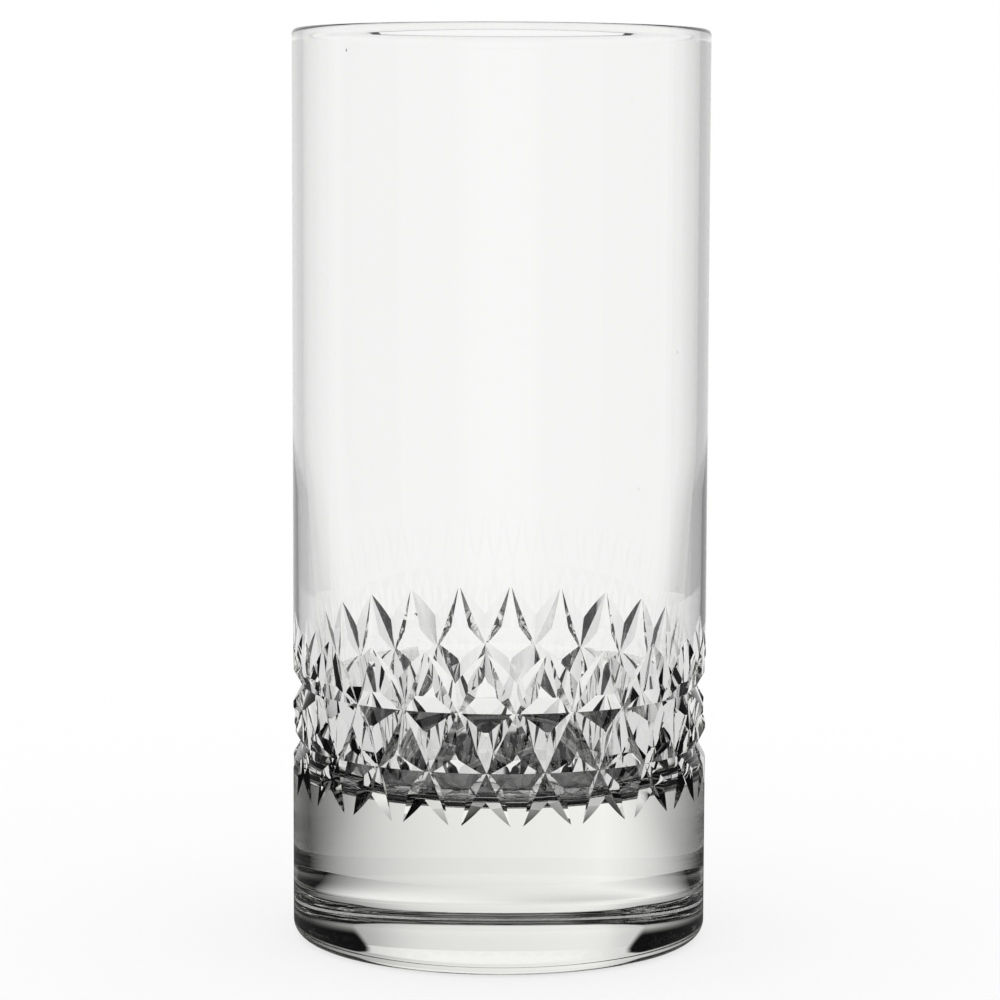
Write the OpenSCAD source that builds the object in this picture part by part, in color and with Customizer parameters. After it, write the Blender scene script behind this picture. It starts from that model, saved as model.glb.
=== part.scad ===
// Highball glass, one piece of clear glass standing on its base.
// Origin at the centre of the base, +Z up through the rim, all sizes in millimetres.
// The body is turned as one profile; the cut band is made of two ring grooves and
// two crossing families of slanting wheel cuts that run out into points above and below.

/* [Body] */

// Height from the table to the top of the rim
glass_h = 148.6; // [135:0.2:165]
// Outside diameter of the straight wall
outer_d = 68; // [64:0.5:76]
// Thickness of the thin upper wall
rim_wall = 1.7; // [1.4:0.1:2.4]
// Wall thickness where the inside meets the floor radius
foot_wall = 4.8; // [4.2:0.1:5.4]
// Height at which the thin wall starts to thicken towards the cut band
thin_to = 79; // [72:1:90]
// Radius of the gentle bend inside, where the wall starts to thicken
bend_r = 150; // [100:10:200]

/* [Base] */

// Thickness of the solid base under the drink
base_t = 26.0; // [18:0.5:30]
// Radius between the inside wall and the inside floor
floor_r = 3.0; // [1.5:0.5:6]
// Radius of the outside heel
heel_r = 2.6; // [1.5:0.1:3.2]
// Width of the flat ring the glass stands on
foot_ring_w = 2.6; // [1.5:0.1:5]
// Height of the shallow hollow under the base
punt_h = 1.0; // [0.4:0.1:2]

/* [Cut band] */

// Number of stars around the glass
star_count = 22; // [20:1:24]
// Height of the lower row of stars above the table
lower_row_z = 32.2; // [30:0.2:38]
// Distance between the two rows of stars
row_gap = 9.4; // [8.8:0.1:10.4]
// Depth of the upper ring groove
upper_ring_depth = 1.5; // [1.2:0.05:1.6]
// Depth of the lower ring groove
lower_ring_depth = 1.3; // [1.2:0.05:1.5]
// Angle between the flanks of the ring grooves
ring_angle = 122; // [114:1:124]
// Depth of a slanting cut at its deepest point
slant_depth = 2.0; // [1.9:0.05:2.2]
// Angle between the flanks of the slanting cuts
slant_angle = 109; // [104:1:112]
// Height of a slanting cut, from its lower point to its upper point
slant_h = 27.3; // [26.5:0.1:27.6]
// How far the middle of the slanting cuts lies above the middle of the two rows
slant_lift = 0.8; // [0.5:0.05:1.1]

/* [Hidden] */

outer_r = outer_d / 2;
lip_r = rim_wall / 2;
lip_z = glass_h - lip_r;

// Inside wall: upright below the rim, then an arc to a straight flare, which touches
// the floor circle. The flare's angle is measured from upright.
inner_r = outer_r - rim_wall;
arc_x = outer_r - foot_wall - floor_r;
arc_z = base_t + floor_r;
side_gap = [inner_r - arc_x, thin_to - arc_z];
flare = atan2(side_gap[0], side_gap[1]) - asin(floor_r / norm(side_gap));
floor_touch = [arc_x + floor_r * cos(flare), arc_z - floor_r * sin(flare)];
bend_z = thin_to + bend_r * tan(flare / 2);
bend_steps = 6;
bend = [for (k = [0 : bend_steps])
    let (a = flare * k / bend_steps)
    [inner_r - bend_r * (1 - cos(a)), bend_z - bend_r * sin(a)]];

// Foot: heel, flat ring and hollow
foot_out = outer_r - heel_r;
foot_in = foot_out - foot_ring_w;
punt_r = (foot_in * foot_in + punt_h * punt_h) / (2 * punt_h);

// Stars: nodes of the upper row sit half a step from nodes of the lower row
step = 360 / star_count;
upper_row_z = lower_row_z + row_gap;
band_mid_z = lower_row_z + row_gap / 2;
ring_flank = ring_angle / 2;
slant_flank = slant_angle / 2;

// One slanting cut passes a star of each row. Seen from the axis, the two angles from
// its middle to those stars add up to half a step, which gives the tangent of its lean.
near_rise = row_gap / 2 - slant_lift;
far_rise = row_gap / 2 + slant_lift;
star_out = outer_r - slant_depth * 0.93;
near_part = near_rise / star_out;
far_part = far_rise / (star_out + slant_depth * 0.05);
half_tan = tan(step / 2);
parts = near_part + far_part;
lean_tan = (sqrt(parts * parts + 4 * near_part * far_part * half_tan * half_tan) - parts)
    / (2 * near_part * far_part * half_tan);
slant = atan(lean_tan);
mid_turn = atan(near_part * lean_tan);
cut_len = slant_h / cos(slant);

// The wheel radius follows from the length and depth of the cut it leaves
surface_bend = sin(slant) * sin(slant) / outer_r;
wheel_bend = 8 * slant_depth / (cut_len * cut_len) - surface_bend;
wheel_r = 1 / wheel_bend;
edge_h = slant_depth * 1.25;
edge_angle = 2 * asin(cut_len * 0.58 / wheel_r);
flats = 8;

glass_tint = [0.86, 0.92, 0.92];

$fn = 96;

// Half of the upright section: wall, solid base, heel, floor radius and fire-polished rim
module section() {
    difference() {
        polygon(concat([[0, 0], [foot_out, 0], [outer_r, heel_r], [outer_r, lip_z],
                        [inner_r, lip_z]], bend, [floor_touch, [arc_x, base_t], [0, base_t]]));
        translate([arc_x, arc_z]) circle(r = floor_r);
    }
    translate([foot_out, heel_r]) circle(r = heel_r);
    translate([outer_r - lip_r, lip_z]) circle(r = lip_r);
}

// Body of revolution with the shallow hollow under the base
module blank() {
    difference() {
        rotate_extrude() section();
        translate([0, 0, punt_h - punt_r]) sphere(r = punt_r);
    }
}

// Ring groove: a V turned round the glass, its open side carried past the wall
module ring_groove(z, depth) {
    half_w = depth * tan(ring_flank);
    translate([0, 0, z]) rotate_extrude()
        polygon([[outer_r - depth, 0], [outer_r + depth, 2 * half_w],
                 [outer_r + depth, -2 * half_w]]);
}

// Working edge of the cutting wheel: the short piece of its rim that meets the glass,
// as a chain of flats. Per station: the sharp edge, then the two shoulders behind it.
module wheel_edge() {
    shoulder = wheel_r - edge_h;
    half_w = edge_h * tan(slant_flank);
    stations = [for (k = [0 : flats]) 180 + edge_angle * (k / flats - 1 / 2)];
    points = [for (a = stations)
        each [[wheel_r * cos(a), wheel_r * sin(a), 0],
              [shoulder * cos(a), shoulder * sin(a), half_w],
              [shoulder * cos(a), shoulder * sin(a), -half_w]]];
    sides = [for (k = [0 : flats - 1], j = [0 : 2])
        [3 * k + j, 3 * k + (j + 1) % 3, 3 * k + 3 + (j + 1) % 3, 3 * k + 3 + j]];
    ends = [[2, 1, 0], [3 * flats, 3 * flats + 1, 3 * flats + 2]];
    polyhedron(points = points, faces = concat(sides, ends));
}

// One slanting cut; lean is 1 or -1 for the two crossing families
module slant_cut(turn, lean) {
    rotate([0, 0, turn])
        translate([outer_r - slant_depth + wheel_r, 0, band_mid_z + slant_lift])
            rotate([lean * slant, 0, 0]) rotate([90, 0, 0]) wheel_edge();
}

// Blown body with its band of cut stars
module tumbler() {
    color(glass_tint)
    difference() {
        // Turned so that the start line of the round surfaces misses the stars
        rotate([0, 0, step * 0.3]) difference() {
            blank();
            ring_groove(upper_row_z, upper_ring_depth);
            ring_groove(lower_row_z, lower_ring_depth);
        }
        for (i = [0 : star_count - 1]) {
            slant_cut(i * step - mid_turn, -1);
            slant_cut(i * step + mid_turn, 1);
        }
    }
}

tumbler();
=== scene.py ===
"""A tall cut highball glass standing on a pale table in a bright studio.

The glass is one closed surface. Its plain parts are a turned section. Its cut band is
worked out flank by flank, so that every valley, ridge and point of the cut lies on an
edge of the mesh: a half star is built once, then mirrored and repeated round the glass.
Sizes are in millimetres until a mesh is made. Angles are worked with in radians, and
those of the cuts and of the stage are stated in degrees.
"""

import logging
import math
from dataclasses import dataclass, field
from enum import Enum
from typing import Callable

import bmesh
import bpy
import numpy as np
from mathutils import Matrix, Vector


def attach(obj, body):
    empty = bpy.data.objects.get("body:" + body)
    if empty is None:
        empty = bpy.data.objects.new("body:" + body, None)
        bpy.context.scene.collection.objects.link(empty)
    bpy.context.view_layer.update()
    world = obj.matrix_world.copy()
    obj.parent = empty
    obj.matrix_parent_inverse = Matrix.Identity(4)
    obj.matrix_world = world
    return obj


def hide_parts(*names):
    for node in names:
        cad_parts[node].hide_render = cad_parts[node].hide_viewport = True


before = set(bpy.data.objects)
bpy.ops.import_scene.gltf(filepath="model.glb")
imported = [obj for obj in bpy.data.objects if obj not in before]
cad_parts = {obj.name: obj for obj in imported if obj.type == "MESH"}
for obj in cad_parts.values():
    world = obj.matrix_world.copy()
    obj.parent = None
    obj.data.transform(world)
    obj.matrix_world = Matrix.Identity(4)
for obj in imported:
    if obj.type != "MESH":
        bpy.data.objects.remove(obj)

LOG = logging.getLogger("highball")
Signal = float | bpy.types.NodeSocket
Line = tuple[np.ndarray, np.ndarray]
Grid = tuple[np.ndarray, np.ndarray, np.ndarray]
MM = 0.001
# Points closer than this are one point, and edges shorter than this go, in metres
WELD = 2e-6
SLIVER = 1e-7


class Lean(Enum):
    """Which way a slanting cut leans as it climbs: towards growing or falling angle."""

    RIGHT = 1.0
    LEFT = -1.0


def bisect(inside: Callable[[np.ndarray], np.ndarray], low: np.ndarray, high: np.ndarray,
           rounds: int = 46) -> np.ndarray:
    """Find the last value for which a test still holds, by halving the range.

    Args:
        inside: test on an array of values, true near low and false near high.
        low: values known to pass.
        high: values known to fail.
        rounds: number of halvings.

    Returns:
        The border value for each entry.
    """
    low, high = np.broadcast_arrays(np.asarray(low, float), np.asarray(high, float))
    low, high = low.copy(), high.copy()
    for _ in range(rounds):
        middle = (low + high) / 2
        passed = inside(middle)
        low = np.where(passed, middle, low)
        high = np.where(passed, high, middle)
    return low


@dataclass(frozen=True)
class Body:
    """Sizes of the turned body, the same as the solid's, and the points of its section."""

    height: float = 148.6
    radius: float = 34.0
    rim_wall: float = 1.7
    foot_wall: float = 4.8
    thin_to: float = 79.0
    bend_r: float = 150.0
    base: float = 26.0
    floor_r: float = 3.0
    heel_r: float = 2.6
    ring_w: float = 2.6
    punt_h: float = 1.0
    # Points round the glass and on the section's curves, and where points stand between
    # two curves, on the floor and on the dome underneath, as shares of the way
    columns: int = 352
    lip_points: int = 25
    bend_points: int = 7
    arc_points: int = 13
    between: tuple[float, ...] = (0.01, 0.25, 0.5, 0.75, 0.99)
    floor_at: tuple[float, ...] = (0.985, 0.75, 0.5, 0.25, 0.06)
    dome_at: tuple[float, ...] = (1.0, 0.97, 0.88, 0.75, 0.6, 0.45, 0.3, 0.15, 0.05)

    def wall_points(self) -> np.ndarray:
        """Points of the section from the outside of the rim to the middle of the floor.

        The inside wall is upright below the rim, bends on an arc to a straight flare, and
        the flare touches the floor circle. The flare's angle from upright is the angle
        from the bend to the circle's centre plus asin of the circle's radius over their
        distance. On each arc the points are its centre plus its radius times (cos, sin).

        Returns:
            An array of (r, z) rows.
        """
        lip = self.rim_wall / 2
        lip_c = np.array([self.radius - lip, self.height - lip])
        kink = np.array([self.radius - self.rim_wall, self.thin_to])
        arc_c = np.array([self.radius - self.foot_wall - self.floor_r, self.base + self.floor_r])
        gap = kink - arc_c
        flare = math.atan2(gap[0], gap[1]) - math.asin(self.floor_r / np.hypot(*gap))
        over = np.linspace(0.0, math.pi, self.lip_points)
        lip_pts = lip_c + lip * np.column_stack([np.cos(over), np.sin(over)])
        leg = self.bend_r * math.tan(flare / 2)
        bend_c = kink + np.array([-self.bend_r, leg])
        turn = np.linspace(0.0, -flare, self.bend_points)
        bend = bend_c + self.bend_r * np.column_stack([np.cos(turn), np.sin(turn)])
        down = np.linspace(-flare, -math.pi / 2, self.arc_points)
        arc_pts = arc_c + self.floor_r * np.column_stack([np.cos(down), np.sin(down)])
        part = np.array(self.between)[:, None]
        wall_pts = lip_pts[-1] * (1 - part) + bend[0] * part
        flare_pts = bend[-1] * (1 - part) + arc_pts[0] * part
        floor_x = arc_c[0] * np.array(self.floor_at)
        floor_pts = np.column_stack([floor_x, np.full(len(floor_x), self.base)])
        return np.vstack([lip_pts, wall_pts, bend, flare_pts, arc_pts, floor_pts])

    def foot_points(self) -> np.ndarray:
        """Points of the section from the heel to the middle of the underside.

        The heel is a quarter circle, then comes the flat ring, then a shallow dome. With R
        as the dome's own radius, its height at r is the punt's height, less R, plus the
        root of R squared less r squared.

        Returns:
            An array of (r, z) rows.
        """
        foot_out = self.radius - self.heel_r
        foot_in = foot_out - self.ring_w
        turn = np.linspace(0.0, math.pi / 2, self.arc_points)
        heel = np.column_stack([foot_out + self.heel_r * np.cos(turn),
                                self.heel_r - self.heel_r * np.sin(turn)])
        dome_r = (foot_in**2 + self.punt_h**2) / (2 * self.punt_h)
        r = foot_in * np.array(self.dome_at)
        dome = np.column_stack([r, self.punt_h - dome_r + np.sqrt(dome_r**2 - r**2)])
        return np.vstack([heel, dome])


@dataclass(frozen=True)
class RingGroove:
    """A V turned round the glass."""

    height: float
    depth: float
    flank: float
    radius: float

    @property
    def half_width(self) -> float:
        """Half the groove's width where it meets the outside of the glass."""
        return self.depth * math.tan(self.flank)

    def cut(self, x: np.ndarray, z: np.ndarray) -> np.ndarray:
        """Radius of the flank: the bottom's radius plus the height from it over tangent."""
        return self.radius - self.depth + np.abs(z - self.height) / math.tan(self.flank) + 0 * x


@dataclass(frozen=True)
class WheelCut:
    """The mark of a sharp-edged cutting wheel pressed into the side of the glass.

    The middle of the cut lies at an arc length (centre) and a height. Its flank is half
    the angle between both flanks, and beyond the wheel's reach the root is held at least.
    """

    centre: float
    height: float
    lean: Lean
    slant: float
    depth: float
    flank: float
    wheel_r: float
    radius: float
    rounds: int = 9
    least: float = 1.0

    def cut(self, x: np.ndarray, z: np.ndarray) -> np.ndarray:
        """Radius at which the line out from the axis meets the wheel's flank.

        With s along the cut and v across it, the wheel's surface stands at its radius less
        |v| over the flank's tangent, so the depth follows from that length and s by
        Pythagoras. The sideways place depends on the result, so it is worked out again
        from each answer, which settles in a few rounds.

        Args:
            x: places round the glass, as arc lengths on the outside.
            z: heights.

        Returns:
            Radii, larger than the glass where the wheel doesn't reach it.
        """
        turn = (np.asarray(x, float) - self.centre) / self.radius
        rise = np.asarray(z, float) - self.height
        reach = self.radius - self.depth + self.wheel_r
        r = np.full(np.broadcast(turn, rise).shape, self.radius)
        sign, ca, sa = self.lean.value, math.cos(self.slant), math.sin(self.slant)
        for _ in range(self.rounds):
            side = r * np.sin(turn)
            across = side * ca - sign * rise * sa
            along = sign * side * sa + rise * ca
            rim = self.wheel_r - np.abs(across) / math.tan(self.flank)
            root = np.sqrt(np.maximum(rim**2 - along**2, self.least))
            r = (reach - root) / np.cos(turn)
        return r

    def bottom(self, z: np.ndarray) -> Line:
        """The sharp bottom of the cut, a circle of the wheel's radius leaning with it.

        Args:
            z: heights.

        Returns:
            Arc places on the outside and radii.
        """
        rise = np.asarray(z, float) - self.height
        out = self.radius - self.depth + self.wheel_r
        out = out - np.sqrt(self.wheel_r**2 - (rise / math.cos(self.slant)) ** 2)
        side = self.lean.value * rise * math.tan(self.slant)
        return self.centre + self.radius * np.arctan2(side, out), np.hypot(out, side)


@dataclass
class CutBand:
    """The band of stars: two ring grooves crossed by two families of slanting cuts.

    The two angles are those between a cut's flanks, in degrees. The lift is the height of
    the slanting cuts' middle above the middle of the two rows.
    """

    body: Body = field(default_factory=Body)
    stars: int = 22
    lower_row: float = 32.2
    row_gap: float = 9.4
    upper_depth: float = 1.5
    lower_depth: float = 1.3
    ring_angle: float = 122.0
    slant_depth: float = 2.0
    slant_angle: float = 109.0
    slant_h: float = 27.3
    slant_lift: float = 0.8
    # Rows across plain glass and across a flank. Then steps along the borders: by the
    # star; along the ring groove to its upper corner, its lower corner and the half step;
    # up the right side, the ridge and the left side of a point; and down to the lower row.
    # Each side of a flank comes to 24 steps, as does the circle that ends a half star.
    flat_rows: int = 4
    flank_rows: int = 6
    near_steps: int = 2
    ring_steps: tuple[int, int, int] = (8, 4, 2)
    side_steps: int = 14
    ridge_steps: int = 6
    edge_steps: int = 18
    lower_steps: int = 8
    # Power that crowds the steps of a point's left side towards its tip, share of even
    # spacing on the bottom of a cut, where the search for corners starts beside the star,
    # and plain glass kept beyond the points
    crowd: float = 0.9
    even: float = 0.15
    beside: float = 0.3
    margin: float = 2.0
    # First guess of the lean and the wheel, and how often they are worked out again
    guess: tuple[float, float] = (0.45, 80.0)
    rounds: int = 30

    def __post_init__(self) -> None:
        """Derive the half step, the lean of the cuts and the wheel from the sizes.

        A cut passes a star of each row, and seen from the axis the two angles from its
        middle to those stars add up to half a step, which gives the tangent of its lean.
        """
        self.half = math.pi * self.body.radius / self.stars
        self.middle = self.lower_row + self.row_gap / 2
        near, far = self.row_gap / 2 - self.slant_lift, self.row_gap / 2 + self.slant_lift
        whole = math.tan(math.pi / self.stars)
        self.slant, self.wheel_r = self.guess
        for _ in range(self.rounds):
            p, q = near / self.out(near), far / self.out(far)
            lean = (math.hypot(p + q, 2 * whole * math.sqrt(p * q)) - p - q) / (2 * p * q * whole)
            self.slant = math.atan(lean)
            length = self.slant_h / math.cos(self.slant)
            bend = 8 * self.slant_depth / length**2 - math.sin(self.slant) ** 2 / self.body.radius
            self.wheel_r = 1 / bend

    def out(self, rise: float) -> float:
        """How far the bottom of a cut stands out from the axis, at a height from its middle."""
        reach = self.body.radius - self.slant_depth + self.wheel_r
        return reach - math.sqrt(self.wheel_r**2 - (rise / math.cos(self.slant)) ** 2)

    def wheel(self, lean: Lean, lift: float) -> WheelCut:
        """A slanting cut through the star at the start of the half step.

        Args:
            lean: which way the cut leans.
            lift: height of the cut's middle above the middle of the band.

        Returns:
            The cut.
        """
        rise = self.row_gap / 2 - lift
        turn = math.atan2(rise * math.tan(self.slant), self.out(rise))
        return WheelCut(-lean.value * turn * self.body.radius, self.middle + lift, lean,
                        self.slant, self.slant_depth, math.radians(self.slant_angle / 2),
                        self.wheel_r, self.body.radius)

    def quarter_star(self, depth: float, lift: float) -> tuple[list[Grid], Line]:
        """Work out the surfaces from the middle of the band up to plain glass, on a half star.

        x runs from the line through a star (0) to the line half a step on (half), and z
        runs up. Every flank is a grid between the sharp bottom of its cut and the ridge or
        border that ends it, and each point takes its radius from its own cut.

        Args:
            depth: depth of the ring groove that crosses these stars.
            lift: height of the cuts' middle above the middle of the band.

        Returns:
            The grids as (x, z, r) arrays, and the (x, z) line that ends them above.
        """
        big, w, row = self.body.radius, self.half, self.middle + self.row_gap / 2
        ring = RingGroove(row, depth, math.radians(self.ring_angle / 2), big)
        up, down = self.wheel(Lean.RIGHT, lift), self.wheel(Lean.LEFT, lift)
        top, low = row + ring.half_width, row - ring.half_width

        def deepest(x: np.ndarray, z: np.ndarray) -> np.ndarray:
            """Radius left by all cuts together."""
            return np.minimum.reduce([up.cut(x, z), down.cut(x, z), ring.cut(x, z) + 0 * z,
                                      np.full(np.broadcast(x, z).shape, big)])

        # Places along the ring groove: its start at the star, the corner of the upper
        # flank, the corner of the lower flank and the middle between two stars
        start = float(bisect(lambda x: np.minimum(up.cut(x, row), down.cut(x, row)) < big - depth,
                             np.array(0.0), np.array(w)))
        beside = np.array(self.beside)
        corner_up = float(bisect(lambda x: up.cut(x, top) < big, beside, np.array(w)))
        corner_low = float(bisect(lambda x: down.cut(x, low) < big, beside, np.array(w)))
        steps_up, steps_low, steps_end = self.ring_steps
        at_up, at_low = steps_up, steps_up + steps_low
        along = np.concatenate([np.linspace(start, corner_up, steps_up + 1),
                                np.linspace(corner_up, corner_low, steps_low + 1)[1:],
                                np.linspace(corner_low, w, steps_end + 1)[1:]])
        flank_up = bisect(lambda h: ring.cut(along, row + h) < up.cut(along, row + h),
                          0 * along, 0 * along + ring.half_width)
        flank_low = bisect(lambda h: ring.cut(along, row - h) < down.cut(along, row - h),
                           0 * along, 0 * along + ring.half_width)
        flank_up[at_up:], flank_low[at_low:] = ring.half_width, ring.half_width
        flank_up[0] = flank_low[0] = 0.0

        # Borders of the upper slanting cut: right side, then left side
        tip_z = float(bisect(lambda z: up.bottom(z)[1] < big, np.array(row),
                             np.array(row + 2 * self.row_gap)))
        tip_x = float(up.bottom(tip_z)[0])
        near = np.linspace(0.0, start, self.near_steps + 1)
        side_z = np.linspace(top, tip_z, self.side_steps + 1)
        bottom_x = up.bottom(side_z)[0]
        side_x = bisect(lambda x: up.cut(x, side_z) < big, bottom_x, np.full(len(side_z), w))
        side_x[-1] = tip_x
        right = self.path([(near, row + 0 * near),
                           (along[:at_up + 1], row + flank_up[:at_up + 1]), (side_x, side_z)])
        crown = float(bisect(lambda z: up.cut(0.0, z) < big, np.array(row), np.array(tip_z)))
        ridge_z = np.linspace(row, crown, self.ridge_steps + 1)
        climb = np.linspace(0.0, 1.0, self.edge_steps + 1) ** self.crowd
        edge_z = crown + (tip_z - crown) * climb
        edge_b = np.maximum(up.bottom(edge_z)[0], 0.0)
        edge_x = edge_b - bisect(lambda d: up.cut(edge_b - d, edge_z) < big, 0 * edge_b, edge_b)
        edge_x[0], edge_x[-1] = 0.0, tip_x
        left = self.path([(0 * ridge_z, ridge_z), (edge_x, edge_z)])

        # Border of the cut between the two rows, on its upper side
        flat_x = np.linspace(corner_low, w, steps_end + 1)
        flat_z = low - bisect(lambda h: down.cut(flat_x, low - h) >= big, 0 * flat_x,
                              np.full(len(flat_x), self.row_gap / 2))
        flat_z[0] = low
        last_z = np.linspace(flat_z[-1], self.middle - self.row_gap / 2, self.lower_steps + 1)
        under = self.path([(near, row + 0 * near),
                           (along[:at_low + 1], row - flank_low[:at_low + 1]),
                           (flat_x, flat_z), (0 * last_z + w, last_z)])

        grids: list[Grid] = []
        feet = (self.feet(right, up, tip_z) + self.feet(left, up, tip_z)) / 2
        for border in (right, left):
            grids.append(self.flank(up, feet, border, deepest))
        feet = np.linspace(row, row - self.row_gap, len(under))
        grids.append(self.flank(down, feet, under, deepest))
        part = np.linspace(0.0, 1.0, self.flank_rows + 1)
        for heights, shared in ((flank_up, at_up + 1), (-flank_low, at_low + 1)):
            z = row + heights[:, None] * part
            x = along[:, None] + 0 * part
            r = np.minimum(ring.cut(x, z), big)
            r[:shared, -1] = deepest(x, z)[:shared, -1]
            grids.append((x, z, r))

        # Plain glass left between the cuts, and above the points up to a level circle
        share = (along[at_up:] - corner_up) / (w - corner_up)
        x = side_x[:, None] + (w - side_x[:, None]) * share
        grids.append((x, side_z[:, None] + 0 * x, big + 0 * x))
        foot_x = np.concatenate([edge_x[:-1], x[-1]])
        foot_z = np.concatenate([edge_z[:-1], 0 * x[-1] + tip_z])
        share = (along[at_low:] - corner_low) / (w - corner_low)
        x = flat_x[:, None] + (w - flat_x[:, None]) * share
        grids.append((x, flat_z[:, None] + 0 * x, big + 0 * x))
        end_x = np.linspace(0.0, w, len(foot_x))
        end_z = np.full(len(foot_x), tip_z + self.margin)
        part = np.linspace(0.0, 1.0, self.flat_rows + 1)[:, None]
        x = foot_x * (1 - part) + end_x * part
        grids.append((x, foot_z * (1 - part) + end_z * part, big + 0 * x))
        return grids, (end_x, end_z)

    @staticmethod
    def path(pieces: list[Line]) -> np.ndarray:
        """Join pieces of a border end to end.

        Args:
            pieces: (x, z) arrays, each starting where the last one stops.

        Returns:
            An array of (x, z) rows, with each meeting point once.
        """
        x = np.concatenate([pieces[0][0], *[p[0][1:] for p in pieces[1:]]])
        z = np.concatenate([pieces[0][1], *[p[1][1:] for p in pieces[1:]]])
        return np.column_stack([x, z])

    def feet(self, border: np.ndarray, cut: WheelCut, end: float) -> np.ndarray:
        """Heights on the bottom of a cut that lie square to the points of a border.

        The bottom is nearly straight on the unrolled glass, so the foot of a point is its
        projection on that line, held between the ends and kept in order.

        Args:
            border: (x, z) points of the flank's far side.
            cut: the cut whose bottom is divided.
            end: height of the bottom's far end.

        Returns:
            Heights, from the star outwards.
        """
        first = self.middle + self.row_gap / 2
        x0, x1 = (float(cut.bottom(z)[0]) for z in (first, end))
        line = np.array([x1 - x0, end - first])
        t = (border - np.array([x0, first])) @ line / (line @ line)
        t = np.maximum.accumulate(np.clip(t, 0.0, 1.0))
        t = (1 - self.even) * t + self.even * np.linspace(0.0, 1.0, len(t))
        t = (t - t[0]) / (t[-1] - t[0])
        return first + t * (end - first)

    def flank(self, cut: WheelCut, feet: np.ndarray, border: np.ndarray,
              deepest: Callable[[np.ndarray, np.ndarray], np.ndarray]) -> Grid:
        """A flank as a grid ruled from the bottom of its cut to its border.

        Args:
            cut: the cut that the flank belongs to.
            feet: heights of the grid's lines on the bottom.
            border: (x, z) of the same lines' other ends.
            deepest: radius left by all cuts, which the shared border takes.

        Returns:
            The (x, z, r) grid.
        """
        x0, r0 = cut.bottom(feet)
        part = np.linspace(0.0, 1.0, self.flank_rows + 1)
        x = x0[:, None] * (1 - part) + border[:, :1] * part
        z = feet[:, None] * (1 - part) + border[:, 1:] * part
        r = np.minimum(cut.cut(x, z), self.body.radius)
        r[:, 0] = np.minimum(r0, self.body.radius)
        r[:, -1] = deepest(x[:, -1], z[:, -1])
        return x, z, r

    def half_star(self) -> tuple[list[Grid], float, float]:
        """The whole height of a half star.

        The lower half is the upper half worked out for the other ring groove and turned
        half round about the middle of the band.

        Returns:
            The grids, and the heights of the plain circles that end them below and above.
        """
        upper, (_, end_up) = self.quarter_star(self.upper_depth, self.slant_lift)
        lower, (_, end_low) = self.quarter_star(self.lower_depth, -self.slant_lift)
        turned = [(self.half - x, 2 * self.middle - z, r) for x, z, r in lower]
        return upper + turned, 2 * self.middle - float(end_low[0]), float(end_up[0])


class MeshSum:
    """Collects corner points and faces of one piece before it becomes a mesh."""

    def __init__(self) -> None:
        """Start empty."""
        self.points: list[np.ndarray] = []
        self.faces: list[tuple[int, ...]] = []
        self.count = 0

    def add(self, points: np.ndarray, faces: np.ndarray) -> None:
        """Append points and the faces that index them.

        Args:
            points: (n, 3) array in millimetres.
            faces: (m, k) array of indices into the points.
        """
        self.points.append(points)
        self.faces.extend(map(tuple, (faces + self.count).tolist()))
        self.count += len(points)

    @staticmethod
    def quads(rows: int, cols: int, closed: bool = False) -> np.ndarray:
        """Corner indices of the quads of a grid, row by row.

        Args:
            rows: number of rows of points.
            cols: number of points in a row.
            closed: whether the last column joins the first.

        Returns:
            An (m, 4) array.
        """
        i, j = np.meshgrid(np.arange(rows - 1), np.arange(cols if closed else cols - 1),
                           indexing="ij")
        nxt = (j + 1) % cols
        return np.stack([i * cols + j, i * cols + nxt, (i + 1) * cols + nxt, (i + 1) * cols + j],
                        axis=-1).reshape(-1, 4)

    def turned(self, section: np.ndarray, columns: int) -> None:
        """Add a section turned round the axis and closed there with a point.

        Each (r, z) row becomes a circle of points r cos a, r sin a, z.

        Args:
            section: (r, z) rows, the last one nearest the axis.
            columns: points round the circle.
        """
        a = 2 * math.pi * np.arange(columns) / columns
        r, z = section[:, :1], section[:, 1:]
        pts = np.stack([r * np.cos(a), r * np.sin(a), z + 0 * a], axis=-1).reshape(-1, 3)
        self.add(pts, self.quads(len(section), columns, closed=True))
        pole = np.array([[0.0, 0.0, section[-1, 1]]])
        k = np.arange(columns)
        self.add(np.vstack([pts[-columns:], pole]),
                 np.column_stack([k, (k + 1) % columns, np.full(columns, columns)]))

    def to_object(self, name: str, sharp: float) -> bpy.types.Object:
        """Weld the points, turn the faces outwards and make the object.

        Args:
            name: name of the object.
            sharp: angle above which an edge stays crisp.

        Returns:
            The new object, at the origin.
        """
        mesh = bpy.data.meshes.new(name)
        mesh.from_pydata((np.vstack(self.points) * MM).tolist(), [], self.faces)
        work = bmesh.new()
        work.from_mesh(mesh)
        bmesh.ops.remove_doubles(work, verts=work.verts, dist=WELD)
        bmesh.ops.dissolve_degenerate(work, edges=work.edges, dist=SLIVER)
        bmesh.ops.recalc_face_normals(work, faces=work.faces)
        loose = sum(1 for e in work.edges if not e.is_manifold)
        for face in work.faces:
            face.smooth = True
        work.to_mesh(mesh)
        work.free()
        mesh.set_sharp_from_angle(angle=sharp)
        mesh.update()
        obj = bpy.data.objects.new(name, mesh)
        bpy.context.scene.collection.objects.link(obj)
        LOG.info("%s: %d faces, %d open edges", name, len(mesh.polygons), loose)
        return obj


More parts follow.
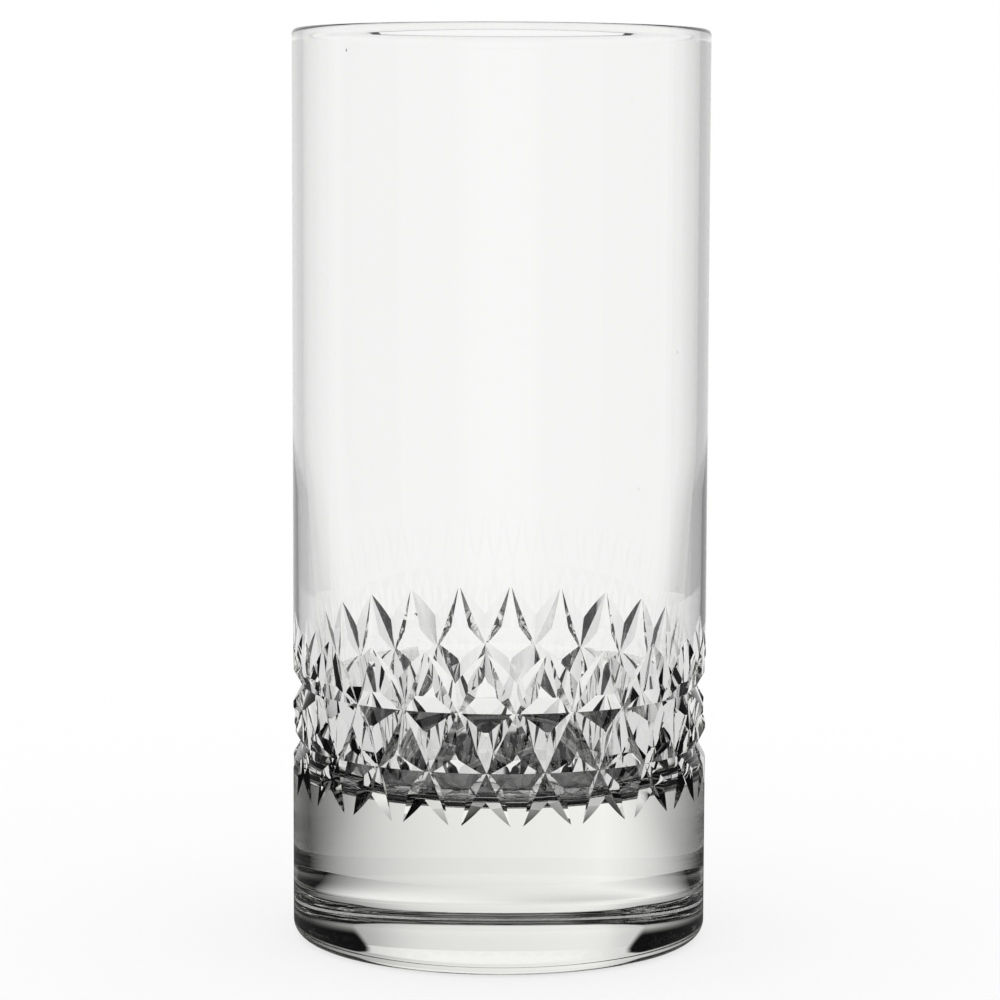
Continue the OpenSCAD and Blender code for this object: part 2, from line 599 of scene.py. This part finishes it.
@dataclass
class Tumbler:
    """The glass itself: turned body and cut band in one closed surface.

    The fine circles at the band's ends go over to coarser ones in a low belt (gather_h).
    Plain wall ends a little below the rim and above the heel, so that both stay round.
    """

    band: CutBand = field(default_factory=CutBand)
    gather_h: float = 1.5
    below_rim: float = 1.0
    above_heel: float = 0.6
    crisp: float = math.radians(12.0)

    def build(self) -> bpy.types.Object:
        """Make the mesh of the glass.

        A point of the half star at arc length x goes to the angle x over the radius, on
        both sides of each star, and r cos a, r sin a, z is its place.

        Returns:
            The glass, standing on the origin.
        """
        body, total = self.band.body, MeshSum()
        grids, low, high = self.band.half_star()
        step = 2 * math.pi / self.band.stars
        turns = step * np.arange(self.band.stars)[:, None, None]
        for x, z, r in grids:
            quads = MeshSum.quads(*x.shape)
            for side in (1, -1):
                a = turns + side * x / body.radius
                pts = np.stack([r * np.cos(a), r * np.sin(a), z + 0 * a], axis=-1)
                size = x.size
                index = quads[None] + size * np.arange(self.band.stars)[:, None, None]
                total.add(pts.reshape(-1, 3), index.reshape(-1, 4))
        wall, foot = body.wall_points(), body.foot_points()
        under, over = low - self.gather_h, high + self.gather_h
        self.gather(total, low, under)
        self.gather(total, high, over)
        for level, end, rest in ((over, wall[0, 1] - self.below_rim, wall),
                                 (under, foot[0, 1] + self.above_heel, foot)):
            side = np.array([[body.radius, level], [body.radius, end]])
            total.turned(np.vstack([side, rest]), body.columns)
        return total.to_object("tumbler_glass", self.crisp)

    def gather(self, total: MeshSum, edge: float, level: float) -> None:
        """Join the fine circle at the band's end to the coarser circle of the plain wall.

        One coarse side takes three fine ones, as a face of six corners.

        Args:
            total: the mesh being collected.
            edge: height of the fine circle.
            level: height of the coarse circle.
        """
        body = self.band.body
        fine = 3 * body.columns
        a = 2 * math.pi * np.arange(fine) / fine
        b = a[::3]
        ring = body.radius
        pts = np.vstack([
            np.column_stack([ring * np.cos(a), ring * np.sin(a), np.full(fine, edge)]),
            np.column_stack([ring * np.cos(b), ring * np.sin(b), np.full(len(b), level)])])
        k = np.arange(body.columns)
        nxt = (k + 1) % body.columns
        total.add(pts, np.column_stack([3 * k, 3 * k + 1, 3 * k + 2, (3 * k + 3) % fine,
                                        fine + nxt, fine + k]))


@dataclass
class Wiring:
    """A node tree and the short ways to add to it."""

    tree: bpy.types.NodeTree

    def add(self, kind: str, **values: float) -> bpy.types.Node:
        """Add a node.

        Args:
            kind: type of the node.
            values: numbers for its inputs, by name, with _ for each blank.

        Returns:
            The node.
        """
        node = self.tree.nodes.new(kind)
        for name, value in values.items():
            node.inputs[name.replace("_", " ")].default_value = value
        return node

    def join(self, value: Signal, socket: bpy.types.NodeSocket) -> None:
        """Give a socket its value.

        Args:
            value: a number to set, or a socket to link.
            socket: the input that takes it.
        """
        if isinstance(value, float):
            socket.default_value = value
        else:
            self.tree.links.new(value, socket)

    def maths(self, what: str, *values: Signal, clamp: bool = False) -> bpy.types.NodeSocket:
        """Work out one number from others.

        Args:
            what: operation of a Math node.
            values: its numbers or sockets, in order.
            clamp: whether the result is kept between 0 and 1.

        Returns:
            The result.
        """
        node = self.tree.nodes.new("ShaderNodeMath")
        node.operation, node.use_clamp = what, clamp
        for value, socket in zip(values, node.inputs):
            self.join(value, socket)
        return node.outputs["Value"]

    def choose(self, mask: Signal, no: Signal, yes: Signal) -> bpy.types.NodeSocket:
        """Go from one value to another by a mask.

        Args:
            mask: 0 for the first value, 1 for the second.
            no: the first value.
            yes: the second value.

        Returns:
            The mixed value.
        """
        mix = self.tree.nodes.new("ShaderNodeMix")
        for value, socket in zip((mask, no, yes), (mix.inputs[0], mix.inputs[2], mix.inputs[3])):
            self.join(value, socket)
        return mix.outputs[0]

    def fade(self, value: Signal, start: float, end: float, first: float = 0.0,
             last: float = 1.0) -> bpy.types.NodeSocket:
        """Go softly from one value to another as a third goes from start to end.

        Args:
            value: what is followed.
            start: where the change starts.
            end: where it is complete, which may lie below the start.
            first: value before the start.
            last: value past the end.

        Returns:
            The changing value.
        """
        node = self.add("ShaderNodeMapRange", From_Min=start, From_Max=end, To_Min=first,
                        To_Max=last)
        node.interpolation_type = "SMOOTHSTEP"
        self.join(value, node.inputs["Value"])
        return node.outputs["Result"]


@dataclass(frozen=True)
class ClearGlass:
    """Polished clear glass, faintly yellow-green in its depth, with a seed here and there.

    The scales of the ripple (wave) and of the seeds are cells per metre, and the heights
    and the seeds' radius are in mm. Where the ripple's noise lies between both numbers of
    dull, the roughness goes from the first number of polish to the second.
    """

    tint: tuple[float, float, float] = (0.995, 0.997, 0.993)
    depth_tint: tuple[float, float, float] = (0.985, 1.0, 0.93)
    density: float = 7.0
    ior: float = 1.52
    wave: float = 55.0
    ripple: float = 0.001
    dull: tuple[float, float] = (0.5, 0.75)
    polish: tuple[float, float] = (0.0, 0.006)
    seeds: float = 75.0
    seed_r: float = 0.3
    seed_deep: float = 0.2

    def material(self) -> bpy.types.Material:
        """Build the node material.

        The surface has a slow ripple from hand finishing, a polish that varies with it,
        and seeds: small pits where a cell's centre of a Voronoi pattern lies close to the
        surface.

        Returns:
            The material.
        """
        mat = bpy.data.materials.new("clear_glass")
        mat.use_nodes = True
        wires = Wiring(mat.node_tree)
        shader = mat.node_tree.nodes["Principled BSDF"]
        shader.inputs["Base Color"].default_value = (*self.tint, 1.0)
        shader.inputs["IOR"].default_value = self.ior
        shader.inputs["Transmission Weight"].default_value = 1.0
        place = wires.add("ShaderNodeTexCoord").outputs["Object"]
        noise = wires.add("ShaderNodeTexNoise", Scale=self.wave, Detail=1.0)
        cells = wires.add("ShaderNodeTexVoronoi", Scale=self.seeds)
        bump = wires.add("ShaderNodeBump", Strength=1.0, Distance=MM)
        wires.join(place, noise.inputs["Vector"])
        wires.join(place, cells.inputs["Vector"])
        pit = wires.fade(cells.outputs["Distance"], 0.0, self.seed_r * MM * self.seeds,
                         -self.seed_deep, 0.0)
        height = wires.maths("MULTIPLY_ADD", noise.outputs["Fac"], self.ripple, pit)
        wires.join(height, bump.inputs["Height"])
        wires.join(bump.outputs["Normal"], shader.inputs["Normal"])
        wires.join(wires.fade(noise.outputs["Fac"], *self.dull, *self.polish),
                   shader.inputs["Roughness"])
        depth = wires.add("ShaderNodeVolumeAbsorption", Density=self.density)
        depth.inputs["Color"].default_value = (*self.depth_tint, 1.0)
        out = mat.node_tree.nodes["Material Output"]
        wires.join(depth.outputs["Volume"], out.inputs["Volume"])
        return mat


@dataclass(frozen=True)
class ShadeAndHighlightScreen:
    """An upright strip bent about a point behind the glass, which only the glass sees; the films
    are painted shade and the glowing cards painted highlights.
    """

    name: str
    behind: float
    radius: float
    rise: tuple[float, float]
    glows: bool = False
    columns: int = 111

    def stand(self, away: float, at: np.ndarray, white: np.ndarray) -> None:
        """Build the strip.

        Its points are the bend's middle plus its radius times (cos, sin) of the heading.

        Args:
            away: heading of the line of sight.
            at: angles from the line of sight, in degrees, rising or falling.
            white: share of the light let through at each, or its own white.
        """
        turn, order = np.linspace(at[0], at[-1], self.columns), np.argsort(at)
        white = np.interp(turn, at[order], white[order])
        a, z = away + np.radians(turn), np.array(self.rise)[:, None]
        pts = np.stack([self.behind * math.cos(away) + self.radius * np.cos(a) + 0 * z,
                        self.behind * math.sin(away) + self.radius * np.sin(a) + 0 * z,
                        z + 0 * a], axis=-1)
        mesh = bpy.data.meshes.new(self.name)
        mesh.from_pydata((pts.reshape(-1, 3) * MM).tolist(), [],
                         MeshSum.quads(2, len(turn)).tolist())
        mesh.materials.append(self.material())
        shade = mesh.attributes.new("white", "FLOAT", "POINT")
        shade.data.foreach_set("value", np.tile(white, 2))
        obj = bpy.data.objects.new(self.name, mesh)
        bpy.context.scene.collection.objects.link(obj)
        obj.visible_camera = obj.visible_diffuse = obj.visible_shadow = False

    def material(self) -> bpy.types.Material:
        """Make the finish: a film of painted shade greyed by the white attribute, else a card of
        painted highlight that glows by it.

        Returns:
            The material.
        """
        mat = bpy.data.materials.new(self.name)
        mat.use_nodes = True
        mat.node_tree.nodes.clear()
        wires = Wiring(mat.node_tree)
        out = wires.add("ShaderNodeOutputMaterial")
        sheet = wires.add("ShaderNodeEmission" if self.glows else "ShaderNodeBsdfTransparent")
        read = wires.add("ShaderNodeAttribute")
        read.attribute_name = "white"
        wires.join(read.outputs["Fac"], sheet.inputs["Color"])
        wires.join(sheet.outputs[0], out.inputs["Surface"])
        return mat


@dataclass(frozen=True)
class Studio:
    """Table, light and camera.

    Lengths are in mm, but metres for the camera's clipping and the table. Headings, pitch
    and roll are in radians, and other angles in degrees from the line of sight. Heights in
    the sky are sines of the angle above the level. A pair says where a change starts and
    where it is complete. White is from 0 to 1.
    """

    # Camera, whose distance is taken level from the axis of the glass
    distance: float = 561.8
    heading: float = math.radians(-86.52)
    camera_z: float = 128.4
    lens: float = 123.66
    sensor: float = 36.0
    clip: tuple[float, float] = (0.01, 50.0)
    pitch: float = math.radians(5.742)
    roll: float = math.radians(0.2)
    # Backdrop up to a black roof, which comes lower by the eaves outside the gable, the
    # lamp overhead, and what the glass mirrors, which dims from the level up (dusk)
    wall_top: float = 0.44
    roof_edge: float = 0.54
    gable: tuple[float, float] = (22.0, 33.0)
    eaves: float = 0.3
    lamp: tuple[float, float] = (0.8, 0.88)
    lamp_white: float = 0.5
    ahead: float = 0.94
    aside: float = 0.74
    spread: tuple[float, float] = (12.0, 28.0)
    mirrored: float = 0.1
    dusk: tuple[float, float] = (0.0, 0.3)
    # Table: its half side, its cloth and glow as the camera sees them, and as the glass
    # sees it the middle of the painted shade grading at the back of the foot, the painted shadow
    # below the foot (foot), how far light comes in under its back (creep), the grading's edge
    # (near) and the painted shade as the glass mirrors it (mirror)
    table_half: float = 3.0
    cloth: float = 0.3
    glow: float = 0.7
    back: float = 34.0
    foot: tuple[float, float] = (33.0, 35.5)
    creep: tuple[float, float] = (19.5, 22.0)
    near: tuple[float, float] = (23.9, 24.0)
    mirror: tuple[float, float] = (150.0, 350.0)
    # Low film of painted shade behind the foot, a plain ramp of (angle, white) on each side; the
    # table's painted shade grading is the same, squeezed to smaller angles and open again beyond
    # a last one
    film_r: float = 24.0
    film_z: tuple[float, float] = (0.01, 18.0)
    painted_shade_ramp: tuple[tuple[float, float], ...] = (
        (-110.0, 0.0), (-52.0, 0.0), (-20.0, 0.52), (0.0, 0.9), (8.0, 1.0), (75.0, 0.0),
        (110.0, 0.0))
    squeeze: float = 1.55
    open_at: float = 150.0
    # Films of painted shade beside the upper wall, clear at their first angle, and glowing cards
    # of painted highlight beside the rim
    edge_r: float = 60.0
    edge_z: tuple[float, float] = (46.0, 148.0)
    edge_at: tuple[float, float, float] = (39.0, 50.0, 100.0)
    edge_shade_left: float = 0.83
    edge_shade_right: float = 0.7
    highlight_z: tuple[float, float] = (149.0, 185.0)
    highlight_at: tuple[float, float] = (36.0, 140.0)
    highlight_white: float = 0.85

    def camera(self) -> None:
        """Place the camera a little below the rim's height, looking slightly down."""
        data = bpy.data.cameras.new("camera")
        data.lens, data.sensor_width = self.lens, self.sensor
        data.clip_start, data.clip_end = self.clip
        cam = bpy.data.objects.new("camera", data)
        place = Vector((math.cos(self.heading), math.sin(self.heading), 0.0)) * self.distance * MM
        place.z = self.camera_z * MM
        facing = Matrix.Rotation(self.heading + math.pi / 2, 4, "Z")
        tilt = Matrix.Rotation(math.pi / 2 - self.pitch, 4, "X")
        spin = Matrix.Rotation(self.roll, 4, "Z")
        cam.matrix_world = Matrix.Translation(place) @ facing @ tilt @ spin
        bpy.context.scene.collection.objects.link(cam)
        bpy.context.scene.camera = cam

    def world(self) -> None:
        """Show white behind the glass, and light it from a low backdrop under a black roof.

        As the glass sees it, the backdrop falls to black where the roof starts, which is
        highest ahead and lower beside and behind, and a lamp stands overhead. What the
        glass mirrors dims from the level up. Light that has passed the glass no longer
        reaches the table, so the table keeps the glass's shadow.
        """
        world = bpy.data.worlds.new("studio")
        bpy.context.scene.world = world
        world.use_nodes = True
        world.node_tree.nodes.clear()
        wires = Wiring(world.node_tree)
        out, path = wires.add("ShaderNodeOutputWorld"), wires.add("ShaderNodeLightPath")
        split = wires.add("ShaderNodeSeparateXYZ")
        wires.join(wires.add("ShaderNodeTexCoord").outputs["Generated"], split.inputs["Vector"])
        x, y, z = split.outputs
        ahead, aside = (math.cos(math.radians(a)) for a in self.gable)
        flat = wires.maths("DIVIDE", self.turned(wires, x, y)[0], self.length(wires, x, y))
        lowered = wires.maths("ADD", z, wires.fade(flat, aside, ahead, self.eaves, 0.0))
        tent = wires.maths("MULTIPLY", self.backdrop(wires, x, y),
                           wires.fade(lowered, self.wall_top, self.roof_edge, 1.0, 0.0))
        tent = wires.maths("MAXIMUM", tent, wires.fade(z, *self.lamp, 0.0, self.lamp_white))
        dim = wires.fade(z, *self.dusk, 1.0, self.mirrored)
        shade = wires.choose(path.outputs["Is Glossy Ray"], 1.0, dim)
        shade = wires.choose(path.outputs["Is Transmission Ray"], shade, tent)
        after = wires.maths("MULTIPLY", path.outputs["Diffuse Depth"],
                            path.outputs["Is Transmission Ray"], clamp=True)
        light = wires.add("ShaderNodeBackground")
        light.inputs["Color"].default_value = (1.0, 1.0, 1.0, 1.0)
        wires.join(wires.choose(after, shade, 0.0), light.inputs["Strength"])
        wires.join(light.outputs["Background"], out.inputs["Surface"])

    def turned(self, wires: Wiring, x: Signal, y: Signal) -> tuple[Signal, Signal]:
        """Split (x, y) by the line of sight.

        Args:
            wires: the node tree.
            x: first part.
            y: second part.

        Returns:
            The part along the line of sight and the part to its left.
        """
        c, s = math.cos(self.away), math.sin(self.away)
        along = wires.maths("ADD", wires.maths("MULTIPLY", x, c), wires.maths("MULTIPLY", y, s))
        across = wires.maths("SUBTRACT", wires.maths("MULTIPLY", y, c),
                             wires.maths("MULTIPLY", x, s))
        return along, across

    def backdrop(self, wires: Wiring, x: Signal, y: Signal) -> Signal:
        """White of the backdrop and far table: full ahead and behind, dimmer aside."""
        ahead, aside = (math.cos(math.radians(a)) for a in self.spread)
        return wires.fade(self.in_line(wires, x, y), aside, ahead, self.aside, self.ahead)

    def in_line(self, wires: Wiring, x: Signal, y: Signal) -> Signal:
        """How nearly (x, y) lies in the line of sight, ahead or behind: |cos| of the angle."""
        along = wires.maths("ABSOLUTE", self.turned(wires, x, y)[0])
        return wires.maths("DIVIDE", along, self.length(wires, x, y))

    @staticmethod
    def length(wires: Wiring, u: Signal, v: Signal) -> Signal:
        """Length of the flat vector (u, v)."""
        return wires.maths("SQRT", wires.maths("ADD", wires.maths("MULTIPLY", u, u),
                                               wires.maths("MULTIPLY", v, v)))

    @property
    def away(self) -> float:
        """Heading of the line of sight past the glass."""
        return self.heading + math.pi

    def screens(self) -> None:
        """Stand round it the films of painted shade and cards of painted highlight that only the
        glass sees.

        A low grey film of painted shade is bent about the back of the foot, clear ahead and dark
        at its ends. Two paler ones stand beside the upper wall and paint shade on its edges, and
        two glowing white cards beside the rim paint highlights into it.
        """
        at, clear = np.array(self.painted_shade_ramp).T
        # Painted shade: a grey film, seen only through the glass, that darkens the sides of the
        # base.
        ShadeAndHighlightScreen("painted_shade_film", self.back, self.film_r, self.film_z).stand(self.away, at, clear)
        for side, name, painted_grey in ((1, "left", self.edge_shade_left), (-1, "right", self.edge_shade_right)):
            # Painted shade: paler films that grey the edges of the upper wall as the glass shows
            # them.
            ShadeAndHighlightScreen(f"wall_painted_shade_{name}", 0.0, self.edge_r, self.edge_z).stand(
                self.away, side * np.array(self.edge_at), np.array([1.0, painted_grey, painted_grey]))
            # Painted highlight: glowing cards seen only in the glass, brightening the rim.
            ShadeAndHighlightScreen(f"rim_painted_highlight_{name}", 0.0, self.edge_r, self.highlight_z, glows=True).stand(
                self.away, side * np.array(self.highlight_at), np.full(2, self.highlight_white))

    def table(self) -> None:
        """Lay the white table top.

        The camera sees a soft white that keeps the shadow of the glass, and the glass sees
        a white with painted shade and a painted shadow, worked out below.
        """
        mesh = bpy.data.meshes.new("table")
        s = self.table_half
        mesh.from_pydata([(-s, -s, 0), (s, -s, 0), (s, s, 0), (-s, s, 0)], [], [(0, 1, 2, 3)])
        obj = bpy.data.objects.new("table", mesh)
        bpy.context.scene.collection.objects.link(obj)
        mat = bpy.data.materials.new("white_table")
        mat.use_nodes = True
        mat.node_tree.nodes.clear()
        wires = Wiring(mat.node_tree)
        out, path = wires.add("ShaderNodeOutputMaterial"), wires.add("ShaderNodeLightPath")
        cloth = wires.add("ShaderNodeBsdfDiffuse")
        cloth.inputs["Color"].default_value = (self.cloth, self.cloth, self.cloth, 1.0)
        both = wires.add("ShaderNodeAddShader")
        wires.join(cloth.outputs["BSDF"], both.inputs[0])
        lit = wires.add("ShaderNodeEmission", Strength=self.glow)
        wires.join(lit.outputs["Emission"], both.inputs[1])
        glow = wires.add("ShaderNodeEmission")
        wires.join(self.table_white_and_shade(wires), glow.inputs["Strength"])
        seen = wires.maths("ADD", path.outputs["Is Glossy Ray"],
                           path.outputs["Is Transmission Ray"], clamp=True)
        mix = wires.add("ShaderNodeMixShader")
        wires.join(seen, mix.inputs["Fac"])
        wires.join(both.outputs["Shader"], mix.inputs[1])
        wires.join(glow.outputs["Emission"], mix.inputs[2])
        wires.join(mix.outputs["Shader"], out.inputs["Surface"])
        mesh.materials.append(mat)

    def table_white_and_shade(self, wires: Wiring) -> Signal:
        """White of the table as the glass sees it, with painted shade and a painted shadow.

        It is the backdrop's white, dimmer aside as painted shade, black under the foot apart
        from its back edge as a painted shadow, and graded to black at both sides near by as
        painted shade: there it follows the angle from the line of sight, about a point at the
        back of the foot. As the glass mirrors it, it is dimmed by painted shade out to some
        way from the foot.

        Args:
            wires: the table's node tree.

        Returns:
            The strength, from 0 under the foot to 1.
        """
        split = wires.add("ShaderNodeSeparateXYZ")
        wires.join(wires.add("ShaderNodeTexCoord").outputs["Object"], split.inputs["Vector"])
        x, y, _ = split.outputs
        # Painted shade: graded to black at both sides near the foot, by the angle from the line
        # of sight about a point at the back of the foot.
        along, across = self.turned(wires, x, y)
        along = wires.maths("SUBTRACT", along, self.back * MM)
        angle = wires.maths("ARCTAN2", across, along)
        ramp = wires.add("ShaderNodeValToRGB")
        wires.join(wires.maths("MULTIPLY_ADD", angle, 0.5 / math.pi, 0.5), ramp.inputs["Fac"])
        stops = ramp.color_ramp.elements
        grades = ((-self.open_at, 1.0), *self.painted_shade_ramp, (self.open_at, 1.0))
        for number, (degrees, white) in enumerate(grades):
            at = 0.5 + degrees / self.squeeze / 360.0
            stop = stops[number] if number < 2 else stops.new(at)
            stop.position, stop.color = at, (white, white, white, 1.0)
        near = wires.fade(self.length(wires, across, along), *(v * MM for v in self.near))
        far = self.length(wires, x, y)
        white = wires.choose(near, ramp.outputs["Color"], 1.0)
        # Painted shade: dimmer aside, as the backdrop is.
        white = wires.maths("MULTIPLY", white, self.backdrop(wires, x, y))
        # Painted shadow: black under the foot, except where light creeps in under its back.
        under = wires.maths("MAXIMUM", wires.fade(far, *(v * MM for v in self.foot)),
                            wires.fade(along, *((v - self.back) * MM for v in self.creep)))
        white = wires.maths("MULTIPLY", white, under)
        # Painted shade: what the glass mirrors of the table is dim out to some way from the foot.
        mirrored = wires.fade(far, *(v * MM for v in self.mirror), self.mirrored, 1.0)
        path = wires.add("ShaderNodeLightPath")
        return wires.choose(path.outputs["Is Transmission Ray"], mirrored, white)


def main() -> None:
    """Build the glass, dress it and set the stage."""
    logging.basicConfig(level=logging.INFO)
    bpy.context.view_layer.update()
    scene = bpy.context.scene
    scene.view_settings.view_transform = "Standard"
    glass = Tumbler().build()
    glass.data.materials.append(ClearGlass().material())
    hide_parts("tumbler")
    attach(glass, "root")
    LOG.info("%s rides on root and stands for the tumbler", glass.name)
    studio = Studio()
    studio.camera()
    studio.world()
    studio.table()
    studio.screens()
    LOG.info("stage: camera, backdrop, table and screens stand")


if __name__ == "__main__":
    main()
